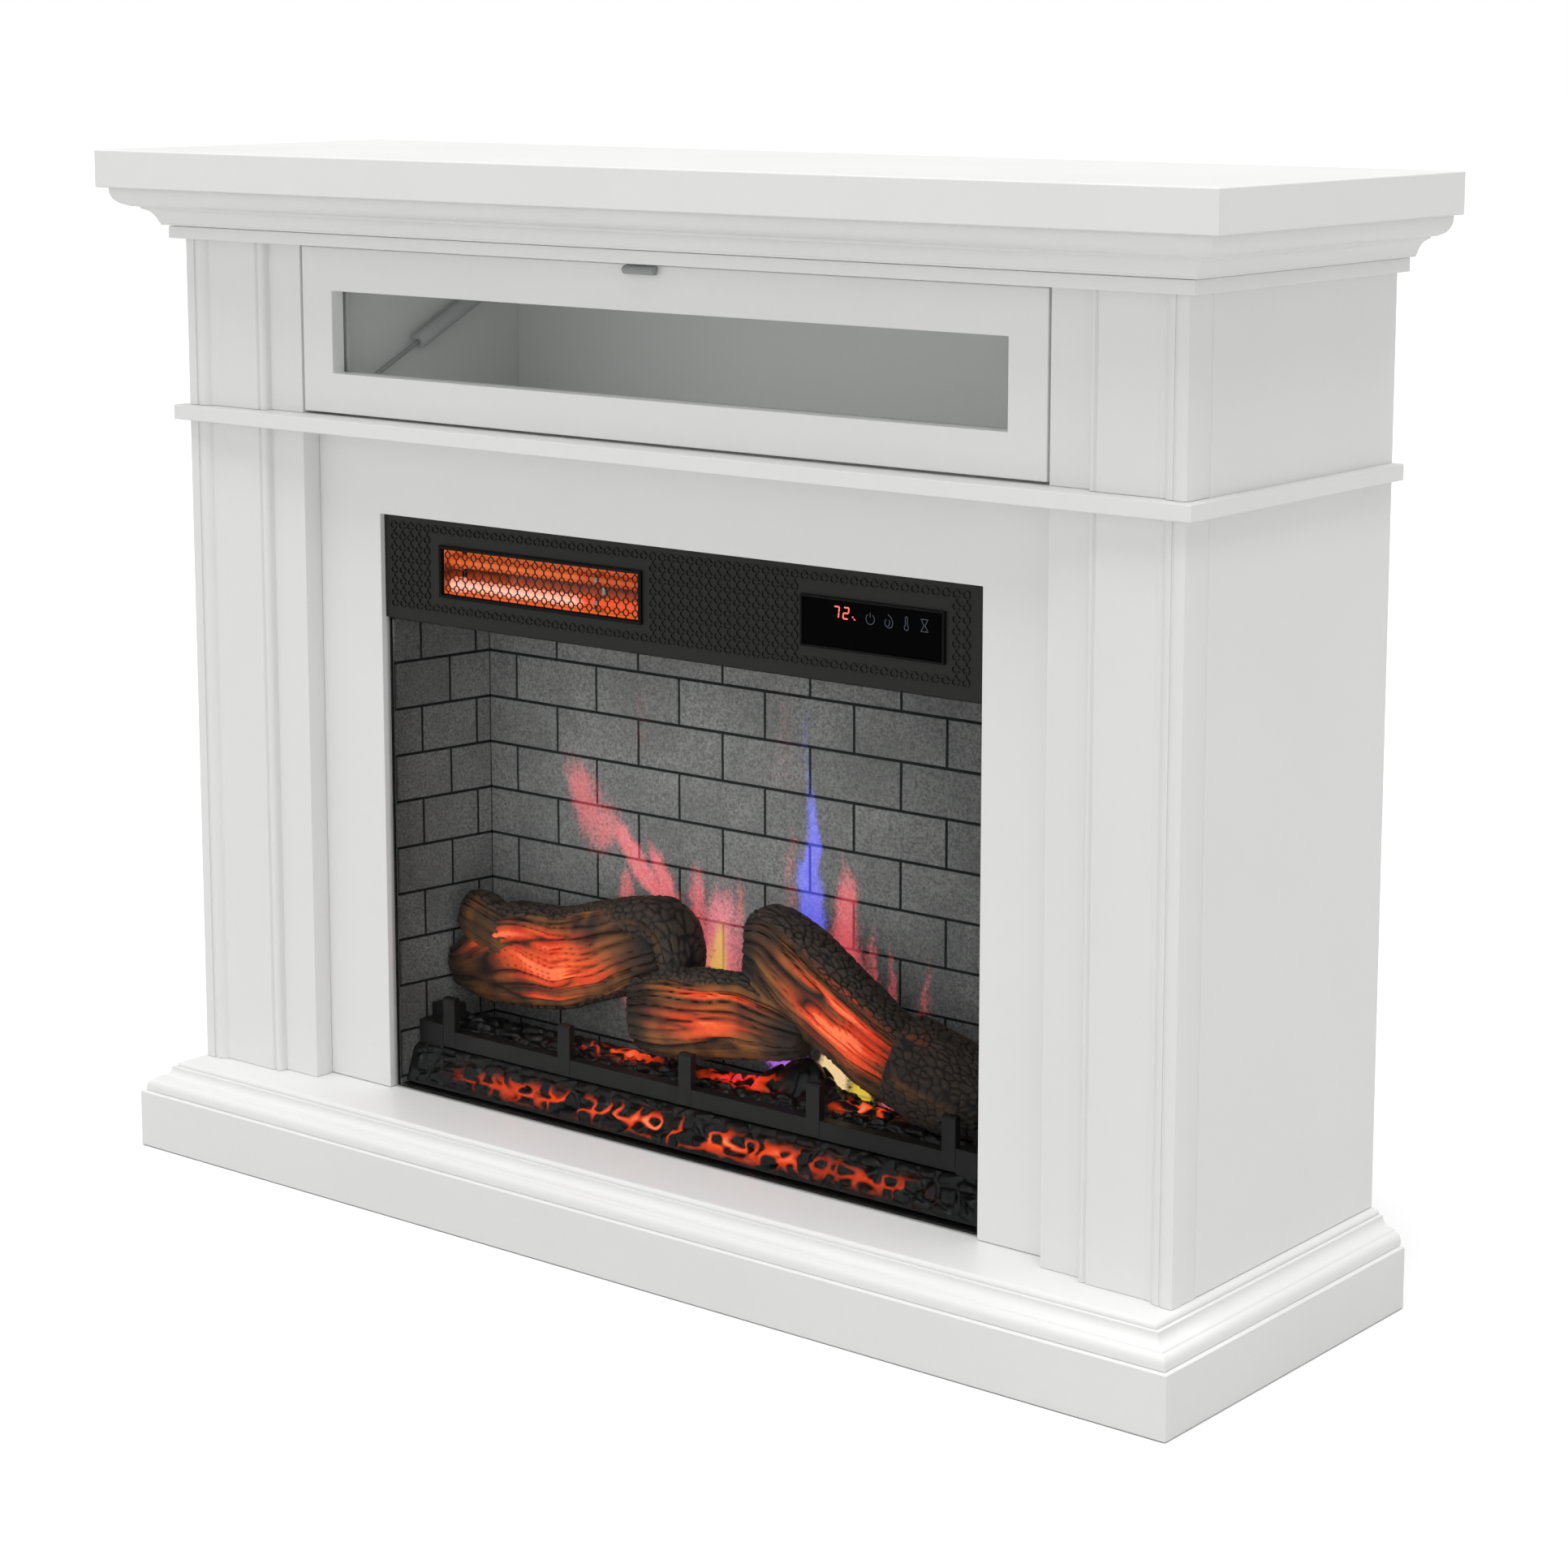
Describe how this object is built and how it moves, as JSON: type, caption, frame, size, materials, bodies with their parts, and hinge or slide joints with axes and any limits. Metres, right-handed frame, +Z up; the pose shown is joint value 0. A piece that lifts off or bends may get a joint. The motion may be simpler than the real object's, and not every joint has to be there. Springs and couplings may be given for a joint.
{
  "type": "electric fireplace",
  "caption": "White free-standing electric fireplace with a moulded mantel, a drop-down glass door over a media compartment, and an infrared firebox insert.",
  "frame": {"origin": "on the floor under the middle of the mantel, at the centre of the bounding box's bottom face", "axes": "+X to the right along the mantel's width as seen from the room, +Y to the back towards the wall, +Z up"},
  "size_m": [1.067, 0.324, 0.834],
  "materials": {
    "painted_mdf": "satin white lacquer on fibreboard",
    "clear_glass": "polished float glass",
    "grey_paint": "grey powder coat",
    "bright_steel": "zinc plated",
    "grey_plastic": "moulded",
    "black_steel": "fine black powder coat",
    "black_plastic": "gloss black",
    "printed_brick": "matt printed brick pattern",
    "bark_resin": "hand painted cast resin",
    "ember_resin": "smoked translucent moulding lit from below",
    "quartz": "glowing quartz tube",
    "aluminium": "bright sheet",
    "circuit_board": "green solder mask"
  },
  "bodies": {
    "cabinet": {"top_board": "painted_mdf", "crown_moulding": "painted_mdf", "frieze_strip": "painted_mdf", "apron_rail": "painted_mdf", "lower_left_pilaster": "painted_mdf", "upper_left_pilaster": "painted_mdf", "lower_right_pilaster": "painted_mdf", "upper_right_pilaster": "painted_mdf", "left_side_panel": "painted_mdf", "left_compartment_wall": "painted_mdf", "right_side_panel": "painted_mdf", "right_compartment_wall": "painted_mdf", "surround_panel": "painted_mdf", "compartment_floor": "painted_mdf", "mid_ledge": "painted_mdf", "compartment_back": "painted_mdf", "rear_brace": "painted_mdf", "plinth": "painted_mdf", "base_moulding": "painted_mdf", "hearth_board": "painted_mdf", "magnet_catch": "grey_plastic", "left_stay_anchor": "grey_paint", "right_stay_anchor": "grey_paint", "insert_housing": "black_steel", "housing_rear_cover": "black_steel", "cord_gland": "black_plastic", "front_glass": "clear_glass", "header_panel": "black_steel", "heater_bezel": "black_steel", "heater_grille": "black_steel", "display_window": "black_plastic", "control_board": "circuit_board", "quartz_tube_upper": "quartz", "quartz_tube_lower": "quartz", "heater_reflector": "aluminium", "blower_motor": "bright_steel", "brick_back": "printed_brick", "brick_left": "printed_brick", "brick_right": "printed_brick", "ember_bed": "ember_resin", "grate": "black_steel", "log_left": "bark_resin", "log_middle": "bark_resin", "log_right": "bark_resin", "spindle_motor": "bright_steel", "led_strip": "circuit_board"},
    "door": {"door_frame": "painted_mdf", "door_glass": "clear_glass", "glass_bead": "painted_mdf", "left_pivot_pin": "bright_steel", "left_stay_bracket": "grey_paint", "right_pivot_pin": "bright_steel", "right_stay_bracket": "grey_paint", "door_pull": "grey_paint"},
    "left_cylinder": {"left_stay_cylinder": "grey_paint"},
    "left_rod": {"left_stay_rod": "bright_steel"},
    "right_cylinder": {"right_stay_cylinder": "grey_paint"},
    "right_rod": {"right_stay_rod": "bright_steel"},
    "spindle": {"flame_spindle": "aluminium"},
    "blower": {"blower_wheel": "black_plastic"}
  },
  "joints": [
    {"name": "door_hinge", "type": "hinge", "parent": "cabinet", "child": "door", "pos_m": [0, -0.0925, 0.6357], "axis": [1, 0, 0], "range_deg": [0, 90]},
    {"name": "left_stay_swing", "type": "hinge", "parent": "cabinet", "child": "left_cylinder", "pos_m": [-0.352, 0.1176, 0.7202], "axis": [1, 0, 0], "range_deg": [-11.1, 0]},
    {"name": "left_stay_slide", "type": "slide", "parent": "left_cylinder", "child": "left_rod", "axis": [0, -0.9025, -0.4307], "range_m": [0, 0.017]},
    {"name": "right_stay_swing", "type": "hinge", "parent": "cabinet", "child": "right_cylinder", "pos_m": [0.352, 0.1176, 0.7202], "axis": [1, 0, 0], "range_deg": [-11.1, 0]},
    {"name": "right_stay_slide", "type": "slide", "parent": "right_cylinder", "child": "right_rod", "axis": [0, -0.9025, -0.4307], "range_m": [0, 0.017]},
    {"name": "spindle_turn", "type": "hinge", "parent": "cabinet", "child": "spindle", "pos_m": [0, -0.0131, 0.0955], "axis": [1, 0, 0], "continuous": true},
    {"name": "blower_turn", "type": "hinge", "parent": "cabinet", "child": "blower", "pos_m": [0, 0.0029, 0.5055], "axis": [1, 0, 0], "continuous": true}
  ],
  "couplings": [
    {"joint": "left_stay_swing", "follows": "door_hinge", "ratio": -0.1224},
    {"joint": "left_stay_slide", "follows": "door_hinge", "m_per_rad": 0.010674},
    {"joint": "right_stay_swing", "follows": "door_hinge", "ratio": -0.1224},
    {"joint": "right_stay_slide", "follows": "door_hinge", "m_per_rad": 0.010674}
  ]
}
